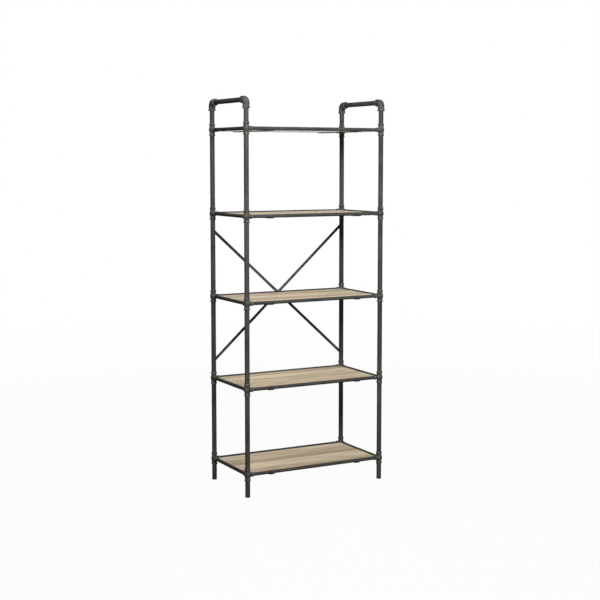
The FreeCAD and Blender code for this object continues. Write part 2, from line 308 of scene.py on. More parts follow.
class Finish(Graph):
    """A surface finish, built on the piece's own coordinates."""

    def __init__(self, name):
        self.material = bpy.data.materials.new(name)
        self.material.use_nodes = True
        super().__init__(self.material.node_tree)
        self.tree.nodes.clear()
        self.place = self.node("ShaderNodeTexCoord", output="Object")

    def noise(self, scale, detail=2.0, place=None):
        """Cloudy noise from 0 to 1 with this many features a metre."""
        values = {"Vector": place or self.place, "Scale": scale, "Detail": detail}
        return self.node("ShaderNodeTexNoise", inputs=values)

    def vector(self, x, y, z):
        """Three values as one place."""
        return self.node("ShaderNodeCombineXYZ", inputs={"X": x, "Y": y, "Z": z})

    def axes(self):
        """The piece's x, y and z."""
        given = {"Vector": self.place}
        return [self.node("ShaderNodeSeparateXYZ", inputs=given, output=axis) for axis in "XYZ"]

    def random(self, x, y, z):
        """One random number from 0 to 1 for each place."""
        return self.node("ShaderNodeTexWhiteNoise", inputs={"Vector": self.vector(x, y, z)})

    def mix(self, share, first, second):
        """A colour between two others."""
        values = {"Factor": share, FIRST_COLOUR: first, SECOND_COLOUR: second}
        return self.node("ShaderNodeMix", {"data_type": "RGBA"}, values, output=MIXED_COLOUR)

    def rub(self):
        """How far a point stands out on a rubbed edge, from 0 to 1."""
        return self.node("ShaderNodeAttribute", {"attribute_name": "rub"}, output="Fac")

    def bump(self, height, depth):
        """Relief too fine for the mesh. A height of 1 stands proud by the depth."""
        values = {"Height": height, "Distance": depth, "Strength": 1.0}
        return self.node("ShaderNodeBump", inputs=values)

    def surface(self, **sockets):
        """Close the finish with one shader, its sockets named in lower case with underscores."""
        values = {}
        for name, value in sockets.items():
            values[name.replace("_", " ").title().replace("Ior", "IOR")] = value
        shader = self.node("ShaderNodeBsdfPrincipled", inputs=values)
        self.node_out("ShaderNodeOutputMaterial", shader)
        return self.material

    def node_out(self, kind, shader):
        """Join a shader to the tree's end."""
        end = self.tree.nodes.new(kind)
        self.tree.links.new(shader.socket, end.inputs["Surface"])


def tube_finish():
    """Gunmetal powder coat on drawn tube: faint clouding and a fine orange peel."""
    finish = Finish("gunmetal_powder_coat")
    cloud = finish.noise(11, detail=4)
    mottle = finish.noise(90, detail=3)
    peel = finish.noise(1300, detail=1)
    tone = (cloud * 0.6 + mottle * 0.4).smooth(0.36, 0.64)
    return finish.surface(
        base_color=finish.mix(tone, coat_dark, coat_light),
        roughness=0.33 + mottle * 0.1 + peel * 0.05,
        metallic=flake_share,
        specular_ior_level=0.0,
        specular_tint=BLACK,
        normal=finish.bump(peel, coat_bump))


def cast_finish():
    """The same coat on rough castings: pitted, patchy, and rubbed lighter on its proud edges."""
    finish = Finish("gunmetal_casting")
    patch = finish.noise(70, detail=4)
    grit = finish.noise(900, detail=3)
    pits = finish.noise(380, detail=2).smooth(0.36, 0.26)
    wear = finish.rub() * finish.noise(240, detail=3).smooth(0.4, 0.62)
    coat = finish.mix(patch.smooth(0.35, 0.65), casting_dark, casting_light)
    coat = finish.mix(pits * 0.6, coat, casting_pitted)
    return finish.surface(
        base_color=finish.mix(wear * 0.7, coat, casting_rubbed),
        roughness=0.4 + grit * 0.16 - wear * 0.12,
        metallic=flake_share + wear * 0.3,
        specular_ior_level=0.0,
        specular_tint=BLACK,
        normal=finish.bump(grit - pits * 0.8, casting_bump))


def bar_finish():
    """Flat bar: the coat with a faint rolling grain and rubbed long edges."""
    finish = Finish("gunmetal_flat_bar")
    cloud = finish.noise(25, detail=4)
    peel = finish.noise(1100, detail=2)
    wear = finish.rub() * finish.noise(160, detail=3).smooth(0.45, 0.65)
    coat = finish.mix(cloud.smooth(0.35, 0.65), bar_dark, bar_light)
    return finish.surface(
        base_color=finish.mix(wear * 0.6, coat, bar_rubbed),
        roughness=0.44 + cloud * 0.1 + peel * 0.06,
        metallic=flake_share + wear * 0.3,
        specular_ior_level=0.0,
        specular_tint=BLACK,
        normal=finish.bump(peel, bar_bump))


# Oak boards: staves along X, set on from board to board
stave_width = 0.152
stave_offset = 0.008
stave_shift_share = 0.27
backing_thickness = 0.0004

# Oak figure, as features a metre along the stave and across it
arch_grain = (1.3, 13)
band_grain = (2.2, 24)
streak_grain = (5, 230)
pore_grain = (55, 1900)
arch_count = 9.0


def oak_finish():
    """Matt greyed oak with staves, arched figure, bands, streaks and pores, on a pale backing sheet.
    The whole numbers keep staves and boards apart in the noise."""
    finish = Finish("greyed_oak")
    x, y, z = finish.axes()
    level = ((z - rail_heights[1]) / shelf_pitch + 0.5).floor()
    staves = (y + stave_offset) / stave_width + level * stave_shift_share
    stave = staves.floor()
    within = staves - stave
    tone = finish.random(stave, level, 1)
    slide = finish.random(stave, level, 2)
    along, across = arch_grain
    place = finish.vector(x * along + slide * 9, y * across + stave * 5, level * 7)
    arches = (finish.noise(1, detail=1.5, place=place) * (arch_count * 2 * math.pi)).sine()
    along, across = streak_grain
    place = finish.vector(x * along + slide * 9, y * across, z * across)
    streaks = finish.noise(1, detail=4, place=place)
    along, across = band_grain
    place = finish.vector(x * along + slide * 5, y * across + stave * 3, level * 5)
    bands = finish.noise(1, detail=2, place=place)
    along, across = pore_grain
    place = finish.vector(x * along, y * across, z * across)
    pores = finish.noise(1, detail=2, place=place).smooth(0.6, 0.74)
    seam = (within - 0.5).absolute().smooth(0.492, 0.499)
    shade = 0.32 * tone + 0.6 * (1 - within) + 0.36 * bands.smooth(0.3, 0.72)
    shade = shade + 0.1 * arches + 0.3 * (streaks - 0.5)
    wood = finish.mix(shade.smooth(0.1, 1.12), oak_light, oak_dark)
    wood = finish.mix(pores * 0.55, wood, oak_pore)
    wood = finish.mix(seam * 0.45, wood, oak_seam)
    underside = rail_heights[1] + level * shelf_pitch - rail_radius
    backing = (z - underside).smooth(backing_thickness, backing_thickness / 2)
    return finish.surface(
        base_color=finish.mix(backing, wood, backing_white),
        roughness=0.62 + streaks * 0.16 + pores * 0.1 - backing * 0.42,
        specular_ior_level=0.35,
        normal=finish.bump(streaks * 0.5 - pores - seam, oak_bump))


def glide_finish():
    """Black moulded plastic, a little scuffed towards the floor."""
    finish = Finish("black_glide")
    height = finish.axes()[2]
    spark = finish.noise(1600, detail=2)
    scuff = height.smooth(scuff_height, 0.0) * finish.noise(300, detail=4).smooth(0.45, 0.65)
    return finish.surface(
        base_color=finish.mix(scuff * 0.4, plastic_black, plastic_scuffed),
        roughness=0.42 + spark * 0.15 + scuff * 0.2,
        specular_ior_level=0.2,
        normal=finish.bump(spark + scuff, plastic_bump))


def bolt_finish():
    """Black oxide: nearly black, with a dull sheen and a little rust brown."""
    finish = Finish("black_oxide")
    cloud = finish.noise(420, detail=3)
    brown = finish.noise(900, detail=2).smooth(0.62, 0.75)
    oxide = finish.mix(cloud, oxide_dark, oxide_light)
    return finish.surface(
        base_color=finish.mix(brown * 0.3, oxide, oxide_brown),
        roughness=0.32 + cloud * 0.2,
        metallic=0.6 - brown * 0.4,
        normal=finish.bump(cloud, oxide_bump))


def zinc_finish():
    """Bright zinc plate with faint spangles."""
    finish = Finish("zinc_plate")
    spangle = finish.node("ShaderNodeTexVoronoi", inputs={"Vector": finish.place, "Scale": 900.0})
    haze = finish.noise(260, detail=3)
    return finish.surface(
        base_color=finish.mix(haze, zinc_dark, zinc_light),
        roughness=0.26 + spangle * 0.14 + haze * 0.1,
        metallic=0.92 + haze * 0.06,
        normal=finish.bump(spangle, zinc_bump))


# Meshes and pieces

def new_piece(name, points, faces):
    """An object with a smooth mesh whose real corners stay sharp."""
    mesh = bpy.data.meshes.new(name)
    mesh.from_pydata([tuple(point) for point in points], [], faces)
    mesh.shade_smooth()
    mesh.set_sharp_from_angle(angle=sharp_angle)
    piece = bpy.data.objects.new(name, mesh)
    bpy.context.scene.collection.objects.link(piece)
    return piece


def give_rub(piece, amounts):
    """Keep how rubbed each point is, for the finish to read."""
    piece.data.attributes.new("rub", "FLOAT", "POINT").data.foreach_set("value", amounts)


def settled(source):
    """The plain mesh object that an object's modifiers give, in its stead."""
    bpy.context.view_layer.update()
    graph = bpy.context.evaluated_depsgraph_get()
    seen = source.evaluated_get(graph)
    mesh = bpy.data.meshes.new_from_object(seen, preserve_all_data_layers=True, depsgraph=graph)
    name = source.name
    bpy.data.objects.remove(source)
    piece = bpy.data.objects.new(name, mesh)
    mesh.name = name
    bpy.context.scene.collection.objects.link(piece)
    return piece


def fit(piece, finish, slot, *nodes):
    """Give a finished piece its material and body, and the nodes that it stands for. The slot is not used.
    """
    piece.data.materials.clear()
    piece.data.materials.append(finish)
    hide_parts(*nodes)
    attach(piece, "root")


def dress(node, finish):
    """Give a node that stays as it is a better material."""
    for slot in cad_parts[node].material_slots:
        slot.material = finish


# Geometry nodes

def start_tree(name, sockets):
    """A geometry node tree, and its inputs as wires by name."""
    tree = bpy.data.node_groups.new(name, "GeometryNodeTree")
    tree.interface.new_socket("Geometry", in_out="OUTPUT", socket_type="NodeSocketGeometry")
    for socket, kind in sockets.items():
        tree.interface.new_socket(socket, in_out="INPUT", socket_type="NodeSocket" + kind)
    graph = Graph(tree)
    entry = tree.nodes.new("NodeGroupInput")
    return graph, {socket: Wire(graph, entry.outputs[socket]) for socket in sockets}


def finish_tree(graph, hosts, pattern, finish):
    """Set the pattern on every host point, turned as the point's facing says, as one plain mesh."""
    kind = {"data_type": "FLOAT_VECTOR"}
    facing = graph.node("GeometryNodeInputNamedAttribute", kind, {"Name": "facing"})
    turn = graph.node("FunctionNodeEulerToRotation", inputs={"Euler": facing})
    given = {"Points": hosts, "Instance": pattern, "Rotation": turn}
    sets = graph.node("GeometryNodeInstanceOnPoints", inputs=given)
    mesh = graph.node("GeometryNodeRealizeInstances", inputs={"Geometry": sets})
    painted = graph.node("GeometryNodeSetMaterial", inputs={"Geometry": mesh, "Material": finish})
    end = graph.tree.nodes.new("NodeGroupOutput")
    graph.tree.links.new(painted.socket, end.inputs["Geometry"])
    return graph.tree


def tube_tree():
    """Hollow tubes: the section of the wall is swept round a circle and set on every host point."""
    sizes = {"Geometry": "Geometry", "Finish": "Material", "Length": "Float", "Radius": "Float",
             "Wall": "Float", "Sides": "Int"}
    graph, given = start_tree("hollow_tubes", sizes)
    inner = 0 - given["Wall"]
    far = 0 - given["Length"]
    section = [(0.0, 0.0), (inner, 0.0), (inner, far), (0.0, far)]
    corners = {
        f"Point {number}": graph.node("ShaderNodeCombineXYZ", inputs={"X": across, "Y": along})
        for number, (across, along) in enumerate(section, 1)
    }
    outline = graph.node("GeometryNodeCurvePrimitiveQuadrilateral", {"mode": "POINTS"}, corners)
    circle = graph.node("GeometryNodeCurvePrimitiveCircle",
                        inputs={"Resolution": given["Sides"], "Radius": given["Radius"]})
    tube = graph.node("GeometryNodeCurveToMesh", inputs={"Curve": circle, "Profile Curve": outline})
    return finish_tree(graph, given["Geometry"], tube, given["Finish"])


def copies_tree():
    """Copies of one pattern object, one on every host point."""
    graph, given = start_tree("copies", {"Geometry": "Geometry", "Finish": "Material", "Pattern": "Object"})
    pattern = graph.node("GeometryNodeObjectInfo", inputs={"Object": given["Pattern"]}, output="Geometry")
    return finish_tree(graph, given["Geometry"], pattern, given["Finish"])


TUBES = tube_tree()
COPIES = copies_tree()
UPRIGHT = (0, 0, 0)
ALONG_X = (0, math.pi / 2, 0)
ALONG_Y = (-math.pi / 2, 0, 0)
UPSIDE_DOWN = (math.pi, 0, 0)


def grown(name, tree, places, values):
    """What a tree grows on host points. Each place is a point and its facing."""
    mesh = bpy.data.meshes.new(name)
    mesh.from_pydata([tuple(point) for point, facing in places], [], [])
    facings = np.array([facing for point, facing in places], dtype=np.float32)
    mesh.attributes.new("facing", "FLOAT_VECTOR", "POINT").data.foreach_set("vector", facings.ravel())
    host = bpy.data.objects.new(name, mesh)
    bpy.context.scene.collection.objects.link(host)
    modifier = host.modifiers.new(tree.name, "NODES")
    modifier.node_group = tree
    for socket in tree.interface.items_tree:
        if socket.name in values:
            modifier[socket.identifier] = values[socket.name]
    return settled(host)


def copied(name, pattern, places, finish, slot, node):
    """Copies of a pattern that stand for a node."""
    piece = grown(name, COPIES, places, {"Pattern": pattern, "Finish": finish})
    fit(piece, finish, slot, node)


# Posts, rails and handle pipes

def make_tubes(finish):
    """Every tube of the frame, as long as its node."""
    upright = [f"{kind}_{corner}" for kind in ("leg", "riser") for corner in CORNERS]
    upright += [f"post_{bay}_{corner}" for bay in SHELVES[:-1] for corner in CORNERS]
    for node in upright:
        low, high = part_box(node)
        start = (*middle(node).xy, low.z)
        make_tube(node, finish, [start], UPRIGHT, high.z - low.z, post_radius, post_wall)
    for side in ("left", "right"):
        low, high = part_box(f"handle_pipe_{side}")
        start = (middle(f"handle_pipe_{side}").x, low.y, handle_height)
        make_tube(f"handle_pipe_{side}", finish, [start], ALONG_Y, high.y - low.y, post_radius, post_wall)
    for shelf in SHELVES:
        height = rail_heights[shelf]
        low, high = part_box(f"long_rails_{shelf}")
        starts = [(low.x, side * post_y, height) for side in (-1, 1)]
        make_tube(f"long_rails_{shelf}", finish, starts, ALONG_X, high.x - low.x, rail_radius, rail_wall)
        low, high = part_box(f"side_rails_{shelf}")
        starts = [(side * post_x, low.y, height) for side in (-1, 1)]
        make_tube(f"side_rails_{shelf}", finish, starts, ALONG_Y, high.y - low.y, rail_radius, rail_wall)


def make_tube(node, finish, starts, facing, length, radius, wall):
    """One node's tubes, all facing one way from their starts."""
    values = {"Finish": finish, "Length": length, "Radius": radius, "Wall": wall, "Sides": tube_sides}
    piece = grown(node + "_tube", TUBES, [(start, facing) for start in starts], values)
    piece.data.shade_smooth()
    piece.data.set_sharp_from_angle(angle=sharp_angle)
    fit(piece, finish, "steel_tube", node)


# Turned pieces

SIXTH_TURN = math.pi / 3


def turned(name, outline, sides=tube_sides, hexed=()):
    """Turn an outline of (radius, height) about Z, from bottom to top. Rings in hexed are hexagons."""
    turns = np.arange(sides) * 2 * math.pi / sides
    flats = np.cos(turns % SIXTH_TURN - SIXTH_TURN / 2)
    points = []
    rings = []
    for number, (radius, height) in enumerate(outline):
        if radius == 0:
            rings.append([len(points)] * sides)
            points.append((0, 0, height))
            continue
        rings.append(list(range(len(points), len(points) + sides)))
        reach = radius / flats if number in hexed else np.full(sides, radius)
        points += zip(reach * np.cos(turns), reach * np.sin(turns), [height] * sides)
    faces = []
    for below, above in itertools.pairwise(rings):
        for side in range(sides):
            ahead = (side + 1) % sides
            corners = (below[side], below[ahead], above[ahead], above[side])
            faces.append(tuple(dict.fromkeys(corners)))
    return new_piece(name, points, faces)


def arc(centre, radius, start, end, steps=arc_steps):
    """Outline points on an arc between two angles in degrees, 0 outwards and 90 up."""
    angles = np.radians(np.linspace(start, end, steps + 1))
    return [(centre[0] + radius * math.cos(a), centre[1] + radius * math.sin(a)) for a in angles]


def make_glides(finish):
    """Push-in foot caps with a rounded lower edge."""
    glide = turned("glide_pattern", [
        (0, 0),
        *arc((glide_radius - glide_edge, glide_edge), glide_edge, -90, 0),
        (glide_radius, glide_height),
        (glide_stem_radius, glide_height),
        (glide_stem_radius, glide_height + glide_stem_length),
        (0, glide_height + glide_stem_length),
    ])
    places = [((side_x * post_x, side_y * post_y, 0), UPRIGHT) for side_x, side_y in CORNERS.values()]
    copied("foot_glides_moulded", glide, places, finish, "glide", "foot_glides")
    bpy.data.objects.remove(glide)


def make_bolt(name, shank_length):
    """A button-head bolt with its seat at the origin, its head up and a hexagon socket in it."""
    crown = bolt_head_height * bolt_crown_share
    rim = bolt_head_height - crown
    outline = [
        (0, -shank_length),
        (bolt_radius, -shank_length),
        (bolt_radius, 0),
        (bolt_head_radius, 0),
        (bolt_head_radius, bolt_head_edge),
    ]
    dome_start = bolt_head_radius - bolt_head_edge
    dome_end = bolt_head_radius / 2
    for share in np.linspace(0, 1, arc_steps + 1):
        fall = math.sqrt(1 - share ** 2)
        outline.append((dome_end + (dome_start - dome_end) * fall, rim * share + crown * share))
    first_hexagon = len(outline)
    outline += [
        (bolt_socket_half_width, bolt_head_height),
        (bolt_socket_half_width, bolt_head_height - bolt_socket_depth),
        (0, bolt_head_height - bolt_socket_depth),
    ]
    return turned(name, outline, hexed=(first_hexagon, first_hexagon + 1))


def make_bolts(finish):
    """Bolts at the brace's ends and at its crossing."""
    lower = rail_heights[brace_shelf - 1] + brace_end_drop
    upper = rail_heights[brace_shelf + 1] - brace_end_drop
    anchors = [lower, upper]
    end_places = [((side * post_x, brace_rear, height), ALONG_Y) for side in (-1, 1) for height in anchors]
    centre_place = [((0, brace_rear, rail_heights[brace_shelf]), ALONG_Y)]
    for node, places in (("brace_end_bolts", end_places), ("brace_centre_bolt", centre_place)):
        shank = brace_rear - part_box(node)[0].y
        bolt = make_bolt("bolt_pattern", shank)
        copied(node + "_turned", bolt, places, finish, "black_bolt", node)
        bpy.data.objects.remove(bolt)


def cross_depth(x, y):
    """How deep the cross recess lies at a point of a screw's head."""
    depth = 0.0
    for along, across in ((abs(x), abs(y)), (abs(y), abs(x))):
        beside = (across - recess_half_width) / recess_slope
        beyond = (along - recess_reach) / recess_slope
        depth = max(depth, 1 - min(max(beside, beyond, 0), 1))
    return depth * recess_depth


def make_screws(finish):
    """Pan-head wood screws with a cross recess, up through the straps into the boards."""
    head = screw_head_radius - screw_head_edge
    outline = [(0, -screw_length), (screw_core_radius, -screw_length + screw_radius)]
    turn = -screw_length + screw_radius
    while turn < -screw_pitch:
        outline += [(screw_radius, turn + screw_pitch / 2), (screw_core_radius, turn + screw_pitch)]
        turn += screw_pitch
    outline += [(screw_radius, 0), (screw_head_radius, 0), (screw_head_radius, screw_head_edge)]
    for share in np.linspace(0, 1, 4 * arc_steps + 1)[1:]:
        rise = screw_head_edge + (screw_head_height - screw_head_edge) * math.sqrt(1 - (1 - share) ** 2)
        outline.append((head * (1 - share), rise))
    screw = turned("screw_pattern", outline)
    for vertex in screw.data.vertices:
        if vertex.co.z > screw_head_edge:
            vertex.co.z -= cross_depth(vertex.co.x, vertex.co.y)
    across = post_x * strap_place_share
    along = post_y * screw_place_share
    places = []
    for height in rail_heights.values():
        seat = height - rail_radius - strap_thickness
        for side_x, side_y in CORNERS.values():
            places.append(((side_x * across, side_y * along, seat), UPSIDE_DOWN))
    copied("board_screws_turned", screw, places, finish, "zinc_fastener", "board_screws")
    bpy.data.objects.remove(screw)


# Castings

def round_bar(radial, along, radius, start, end, edge):
    """Distance to a round bar from start to end with rounded edges."""
    across = radial - (radius - edge)
    beyond = abs(along - (start + end) / 2) - ((end - start) / 2 - edge)
    outside = np.hypot(np.maximum(across, 0), np.maximum(beyond, 0))
    return outside + np.minimum(np.maximum(across, beyond), 0) - edge


def melt(first, second, fillet):
    """Join two distances with a cast fillet."""
    overlap = np.maximum(fillet - abs(first - second), 0) / fillet
    return np.minimum(first, second) - overlap ** 2 * fillet / 4


def fitting_distance(points):
    """Distance to a corner fitting: a collared sleeve, a belly, and beaded outlets to +X and +Y."""
    x, y, z = np.moveaxis(points, -1, 0)
    around = np.hypot(x, y)
    sleeve = round_bar(around, z, neck_radius, -fitting_half_height, fitting_half_height, neck_edge)
    collar_start = fitting_half_height - collar_length
    collars = round_bar(around, abs(z), collar_radius, collar_start, fitting_half_height, collar_edge)
    belly = np.hypot(around, z) - belly_radius
    body = melt(melt(sleeve, belly, belly_fillet), collars, collar_fillet)
    bead_start = outlet_reach - outlet_bead_length
    for radial, along in ((np.hypot(y, z), x), (np.hypot(x, z), y)):
        pipe = round_bar(radial, along, outlet_radius, -outlet_edge, outlet_reach, outlet_edge)
        bead = round_bar(radial, along, outlet_bead_radius, bead_start, outlet_reach, outlet_bead_edge)
        body = melt(body, melt(pipe, bead, outlet_bead_fillet), outlet_fillet)
    return body


def elbow_distance(points):
    """Distance to an elbow whose axes cross at the origin: bands below and towards +Y, a web between."""
    x, y, z = np.moveaxis(points, -1, 0)
    upright = np.hypot(x, y)
    level = np.hypot(x, z)
    bend = np.hypot(np.hypot(y - elbow_bend_radius, z + elbow_bend_radius) - elbow_bend_radius, x)
    below = z < -elbow_bend_radius
    behind = y > elbow_bend_radius
    leg = np.where(behind, np.minimum(upright, level), upright)
    line = np.where(below, leg, np.where(behind, level, bend))
    inner_end = elbow_reach - elbow_band_edge
    body = np.maximum(line - elbow_radius, np.maximum(y, -z) - inner_end)
    half_web = elbow_web_offset * math.sqrt(2)
    beside = np.hypot(x, (y - z) / math.sqrt(2) - half_web)
    beyond = np.maximum(abs(y + z) / math.sqrt(2) - half_web, 0)
    body = melt(body, np.hypot(beside, beyond) - elbow_web_radius, elbow_web_fillet)
    for radial, along in ((upright, -z), (level, y)):
        band = round_bar(radial, along, elbow_band_radius, elbow_reach - elbow_band_length, elbow_reach,
                         elbow_band_edge)
        body = melt(body, band, elbow_band_fillet)
    return body


def slope(distance, points):
    """The gradient of a distance, one row for each point."""
    steps = np.eye(3) * slope_step
    rises = [distance(points + step) - distance(points - step) for step in steps]
    return np.stack(rises, axis=-1) / (2 * slope_step)


def skin(distance, low, high):
    """Points and quads over the surface where a distance is zero, inside a box."""
    counts = np.ceil((high - low) / skin_cell).astype(int) + 1
    lattice = np.stack(np.meshgrid(*[np.arange(count) for count in counts], indexing="ij"), axis=-1)
    inside = distance(low + skin_cell * lattice) < 0
    near = [slice(0, -1), slice(1, None)]
    filled = sum(inside[corner].astype(int) for corner in itertools.product(near, repeat=3))
    mixed = (filled > 0) & (filled < 8)
    number = np.cumsum(mixed).reshape(mixed.shape) - 1
    points = low + skin_cell * (np.argwhere(mixed) + 0.5)
    quads = []
    for axis in range(3):
        step = np.eye(3, dtype=int)
        ahead, first, second = step[axis], step[(axis + 1) % 3], step[(axis + 2) % 3]
        here = np.argwhere(inside[:-1, :-1, :-1] != np.roll(inside, -ahead, axis=range(3))[:-1, :-1, :-1])
        ring = [here - first - second, here - second, here, here - first]
        quad = np.stack([number[tuple(cell.T)] for cell in ring], axis=-1)
        leaving = inside[tuple(here.T)]
        quads += [quad[leaving], quad[~leaving][:, ::-1]]
    return points, np.concatenate(quads)


def relaxed(points, quads):
    """Each point drawn halfway to the mean of its neighbours."""
    pairs = np.concatenate([quads[:, [side, (side + 1) % 4]] for side in range(4)])
    totals = np.zeros_like(points)
    counts = np.zeros(len(points))
    for here, there in (pairs.T, pairs.T[::-1]):
        np.add.at(totals, here, points[there])
        np.add.at(counts, here, 1)
    return (points + totals / counts[:, None]) / 2


def settled_on(distance, points):
    """Points moved along the slope onto the surface."""
    for settle in range(settle_rounds):
        rise = slope(distance, points)
        points = points - rise * (distance(points) / (rise ** 2).sum(axis=-1))[:, None]
    return points


def bulge(distance, points):
    """How strongly the surface curves outwards at each point."""
    steps = np.concatenate([np.eye(3), -np.eye(3)]) * bulge_step
    around = sum(distance(points + step) for step in steps)
    return (around - len(steps) * distance(points)) / bulge_step ** 2


def casting(name, distance, low, high, cutters):
    """A casting: a skin over its distance, with sockets bored by the cutters."""
    points, quads = skin(distance, np.array(low) - skin_margin, np.array(high) + skin_margin)
    for relax in range(relax_rounds):
        points = settled_on(distance, relaxed(points, quads))
    piece = new_piece(name, points, quads.tolist())
    rub = (bulge(distance, points) - rub_low_bulge) / (rub_high_bulge - rub_low_bulge)
    give_rub(piece, np.clip(rub, 0, 1))
    for cutter in cutters:
        bore = piece.modifiers.new("socket", "BOOLEAN")
        bore.operation = "DIFFERENCE"
        bore.solver = "MANIFOLD"
        bore.object = cutter
    piece = settled(piece)
    for cutter in cutters:
        bpy.data.objects.remove(cutter)
    piece.data.set_sharp_from_angle(angle=sharp_angle)
    return piece


def bore(outline, facing):
    """A cutter turned about Z and then laid along its facing."""
    cutter = turned("bore", outline)
    cutter.rotation_euler = facing
    return cutter


def make_fitting():
    """One corner fitting, its outlets towards +X and +Y."""
    socket = post_radius + socket_clearance
    seat = fitting_half_height - post_socket_depth
    past = fitting_half_height + skin_margin
    stud = stud_radius + stud_clearance
    post_bore = bore([(0, -past), (socket, -past), (socket, -seat), (stud, -seat),
                      (stud, seat), (socket, seat), (socket, past), (0, past)], UPRIGHT)
    rail_socket = rail_radius + socket_clearance
    rail_outline = [(0, outlet_reach - rail_socket_depth), (rail_socket, outlet_reach - rail_socket_depth),
                    (rail_socket, outlet_reach + skin_margin), (0, outlet_reach + skin_margin)]
    low = (-belly_radius, -belly_radius, -fitting_half_height)
    high = (outlet_reach, outlet_reach, fitting_half_height)
    cutters = [post_bore, bore(rail_outline, ALONG_X), bore(rail_outline, ALONG_Y)]
    return casting("fitting_pattern", fitting_distance, low, high, cutters)


def make_elbow():
    """One handle elbow round the origin, open downwards and towards +Y."""
    socket = post_radius + socket_clearance
    seat = elbow_reach - post_socket_depth
    stud = stud_radius + stud_clearance
    past = elbow_reach + skin_margin
    lower = bore([(0, -past), (socket, -past), (socket, -seat), (stud, -seat),
                  (stud, elbow_stud_depth - seat), (0, elbow_stud_depth - seat)], UPRIGHT)
    rear = bore([(0, seat), (socket, seat), (socket, past), (0, past)], ALONG_Y)
    reach = elbow_band_radius
    low = (-reach, -reach, -elbow_reach)
    high = (reach, elbow_reach, reach)
    return casting("elbow_pattern", elbow_distance, low, high, [lower, rear])


def make_castings(finish):
    """Four fittings for each shelf, and an elbow on each riser."""
    fitting = make_fitting()
    quarter = math.pi / 2
    for shelf, height in rail_heights.items():
        places = [
            ((side_x * post_x, side_y * post_y, height), (0, 0, number * quarter))
            for number, (side_x, side_y) in enumerate(CORNERS.values())
        ]
        node = f"corner_fittings_{shelf}"
        copied(node + "_cast", fitting, places, finish, "cast_fitting", node)
    bpy.data.objects.remove(fitting)
    elbow = make_elbow()
    for corner, (side_x, side_y) in CORNERS.items():
        facing = UPRIGHT if side_y < 0 else (0, 0, math.pi)
        node = f"handle_elbow_{corner}"
        place = ((side_x * post_x, side_y * post_y, handle_height), facing)
        copied(node + "_cast", elbow, [place], finish, "cast_fitting", node)
    bpy.data.objects.remove(elbow)


# Cross brace

def smooth_step(share):
    """0 up to a share of 0, 1 from a share of 1, and an easy slope between."""
    share = min(max(share, 0), 1)
    return share * share * (3 - 2 * share)


def strip(name, half_length, joggle):
    """A flat bar along X with round ends and rounded edges, from y 0 to its thickness.
    At its middle it steps towards -Y by joggle."""
    stations = np.linspace(-half_length, half_length, brace_stations + 1)
    swings = np.radians(np.linspace(-90, 90, brace_arc_steps + 1)[1:-1])
    rim = [(x, 0, -1) for x in stations]
    rim += [(half_length, math.cos(swing), math.sin(swing)) for swing in swings]
    rim += [(x, 0, 1) for x in stations[::-1]]
    rim += [(-half_length, -math.cos(swing), -math.sin(swing)) for swing in swings]
    quarter = np.linspace(0, math.pi / 2, brace_edge_steps + 1)
    levels = []
    for turn in quarter:
        inset = brace_edge * (1 - math.sin(turn))
        depth = brace_edge * (1 - math.cos(turn))
        levels.append((inset, depth, math.sin(2 * turn)))
    levels += [(inset, brace_thickness - depth, rub) for inset, depth, rub in levels[::-1]]
    points = []
    rubs = []
    for inset, depth, rub in levels:
        for x, out_x, out_z in rim:
            reach = brace_half_width - inset
            here = x + out_x * reach
            step = smooth_step((joggle_flat + joggle_ramp - abs(here)) / joggle_ramp)
            points.append((here, depth - joggle * step, out_z * reach))
            rubs.append(rub)
    count = len(rim)
    faces = []
    for level in range(len(levels) - 1):
        for here in range(count):
            ahead = (here + 1) % count
            faces.append((level * count + here, level * count + ahead,
                          (level + 1) * count + ahead, (level + 1) * count + here))
    for level, order in ((0, -1), (len(levels) - 1, 1)):
        start = level * count
        opposite = 2 * brace_stations + brace_arc_steps
        ladder = [(here, opposite - here, opposite - here - 1, here + 1) for here in range(brace_stations)]
        right_end = list(range(brace_stations, opposite - brace_stations + 1))
        left_end = list(range(opposite, count)) + [0]
        for face in ladder + [right_end[::-1], left_end[::-1]]:
            faces.append([start + corner for corner in face][::order])
    piece = new_piece(name, points, faces)
    give_rub(piece, rubs)
    return piece


def make_brace(finish):
    """The rising bar lies straight on the posts. The falling one steps in front of it."""
    rise = rail_heights[brace_shelf + 1] - brace_end_drop - rail_heights[brace_shelf]
    half_length = math.hypot(rise, post_x)
    incline = math.atan2(rise, post_x)
    for bar, joggle, turn in (("rising", 0, -incline), ("falling", brace_thickness, incline)):
        piece = strip(f"brace_bar_{bar}_strip", half_length, joggle)
        piece.rotation_euler.y = turn
        piece.location = (0, brace_front, rail_heights[brace_shelf])
        bpy.context.view_layer.update()
        piece.data.transform(piece.matrix_world)
        piece.rotation_euler.y = 0
        piece.location = (0, 0, 0)
        fit(piece, finish, "steel_tube", f"brace_bar_{bar}")


# Board straps

